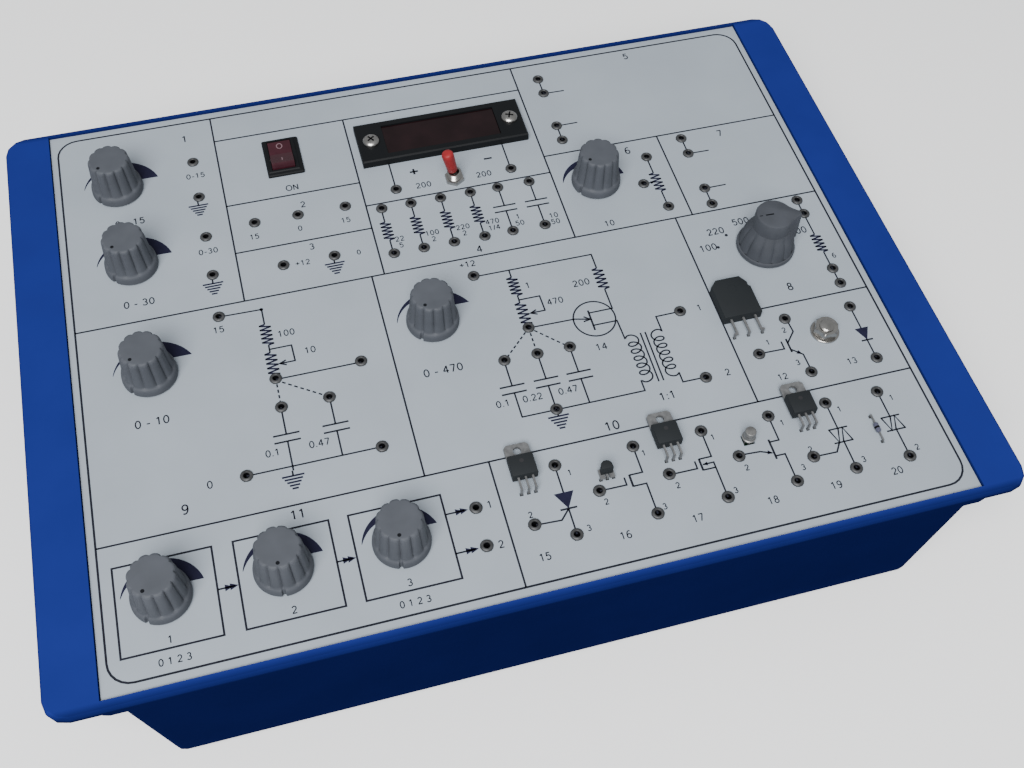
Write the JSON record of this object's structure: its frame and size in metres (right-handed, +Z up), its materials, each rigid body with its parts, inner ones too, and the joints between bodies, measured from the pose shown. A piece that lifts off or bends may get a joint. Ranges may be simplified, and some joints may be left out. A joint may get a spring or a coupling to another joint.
{
  "type": "power electronics trainer",
  "caption": "Shallow blue case with two carrying wings and a printed panel of patch sockets, control knobs, switches, a meter and sample devices.",
  "frame": {"origin": "on the table under the middle of the case, at the underside of the feet", "axes": "+X to the right as the user sits, +Y to the back, +Z up"},
  "size_m": [0.381, 0.283, 0.0893],
  "materials": {
    "blue_plastic": "satin",
    "white_laminate": "satin",
    "rubber": "matt",
    "plated_steel": "bright",
    "board": "satin",
    "brass": "satin",
    "socket_metal": "satin",
    "black_plastic": "satin",
    "red_plastic": "gloss",
    "window": "gloss",
    "lamination": "satin",
    "tape": "satin",
    "can_sleeve": "satin",
    "aluminium": "satin",
    "fuse_glass": "clear",
    "cement": "matt",
    "epoxy": "satin",
    "orange_glass": "gloss",
    "grey_plastic": "satin"
  },
  "bodies": {
    "case": {"body_shell": "blue_plastic", "front_panel": "white_laminate", "bottom_cover": "blue_plastic", "rubber_feet": "rubber", "case_screws": "plated_steel", "main_board": "board", "board_spacers": "brass", "supply_sockets": "socket_metal", "component_sockets": "socket_metal", "circuit_sockets": "socket_metal", "device_sockets": "socket_metal", "potentiometer_bodies": "plated_steel", "selector_body": "black_plastic", "rocker_housing": "black_plastic", "toggle_body": "plated_steel", "toggle_nut": "plated_steel", "meter_bezel": "black_plastic", "meter_window": "window", "meter_display": "black_plastic", "meter_screws": "plated_steel", "mains_inlet": "black_plastic", "inlet_blades": "brass", "transformer_core": "lamination", "transformer_winding": "tape", "supply_board": "board", "supply_capacitors": "can_sleeve", "heat_sink": "aluminium", "fuse": "fuse_glass", "load_resistors": "cement", "firing_chips": "epoxy", "power_package": "epoxy", "small_packages": "epoxy", "ujt_can": "plated_steel", "diode_stud": "plated_steel", "diode_hardware": "plated_steel", "diac_body": "orange_glass", "device_leads": "plated_steel"},
    "low_supply_control": {"low_supply_knob": "grey_plastic", "low_supply_shaft": "aluminium"},
    "high_supply_control": {"high_supply_knob": "grey_plastic", "high_supply_shaft": "aluminium"},
    "rc_firing_control": {"rc_firing_knob": "grey_plastic", "rc_firing_shaft": "aluminium"},
    "ujt_firing_control": {"ujt_firing_knob": "grey_plastic", "ujt_firing_shaft": "aluminium"},
    "divider_control": {"divider_knob": "grey_plastic", "divider_shaft": "aluminium"},
    "phase_control": {"phase_knob": "grey_plastic", "phase_shaft": "aluminium"},
    "width_control": {"width_knob": "grey_plastic", "width_shaft": "aluminium"},
    "gain_control": {"gain_knob": "grey_plastic", "gain_shaft": "aluminium"},
    "load_selector": {"load_knob": "grey_plastic", "load_shaft": "aluminium"},
    "power_rocker": {"rocker": "red_plastic"},
    "bias_toggle": {"toggle_lever": "plated_steel", "toggle_sleeve": "red_plastic"}
  },
  "joints": [
    {"name": "low_supply_turn", "type": "hinge", "parent": "case", "child": "low_supply_control", "pos_m": [-0.1426, 0.1004, 0.077], "axis": [0, 0, -1], "range_deg": [0, 300]},
    {"name": "high_supply_turn", "type": "hinge", "parent": "case", "child": "high_supply_control", "pos_m": [-0.1409, 0.0544, 0.077], "axis": [0, 0, -1], "range_deg": [0, 300]},
    {"name": "rc_firing_turn", "type": "hinge", "parent": "case", "child": "rc_firing_control", "pos_m": [-0.1394, -0.0046, 0.077], "axis": [0, 0, -1], "range_deg": [0, 300]},
    {"name": "ujt_firing_turn", "type": "hinge", "parent": "case", "child": "ujt_firing_control", "pos_m": [-0.0213, -0.0062, 0.077], "axis": [0, 0, -1], "range_deg": [0, 300]},
    {"name": "divider_turn", "type": "hinge", "parent": "case", "child": "divider_control", "pos_m": [0.07, 0.0534, 0.077], "axis": [0, 0, -1], "range_deg": [0, 300]},
    {"name": "phase_turn", "type": "hinge", "parent": "case", "child": "phase_control", "pos_m": [-0.1457, -0.1034, 0.077], "axis": [0, 0, -1], "range_deg": [0, 300]},
    {"name": "width_turn", "type": "hinge", "parent": "case", "child": "width_control", "pos_m": [-0.101, -0.1036, 0.077], "axis": [0, 0, -1], "range_deg": [0, 300]},
    {"name": "gain_turn", "type": "hinge", "parent": "case", "child": "gain_control", "pos_m": [-0.0562, -0.1038, 0.077], "axis": [0, 0, -1], "range_deg": [0, 300]},
    {"name": "load_select", "type": "hinge", "parent": "case", "child": "load_selector", "pos_m": [0.1322, -0.0018, 0.077], "axis": [0, 0, -1], "range_deg": [0, 144]},
    {"name": "power_rock", "type": "hinge", "parent": "case", "child": "power_rocker", "pos_m": [-0.0679, 0.1026, 0.0665], "axis": [1, 0, 0], "range_deg": [0, 18]},
    {"name": "bias_tip", "type": "hinge", "parent": "case", "child": "bias_toggle", "pos_m": [0.0069, 0.0705, 0.0696], "axis": [0, 1, 0], "range_deg": [0, 24]}
  ]
}
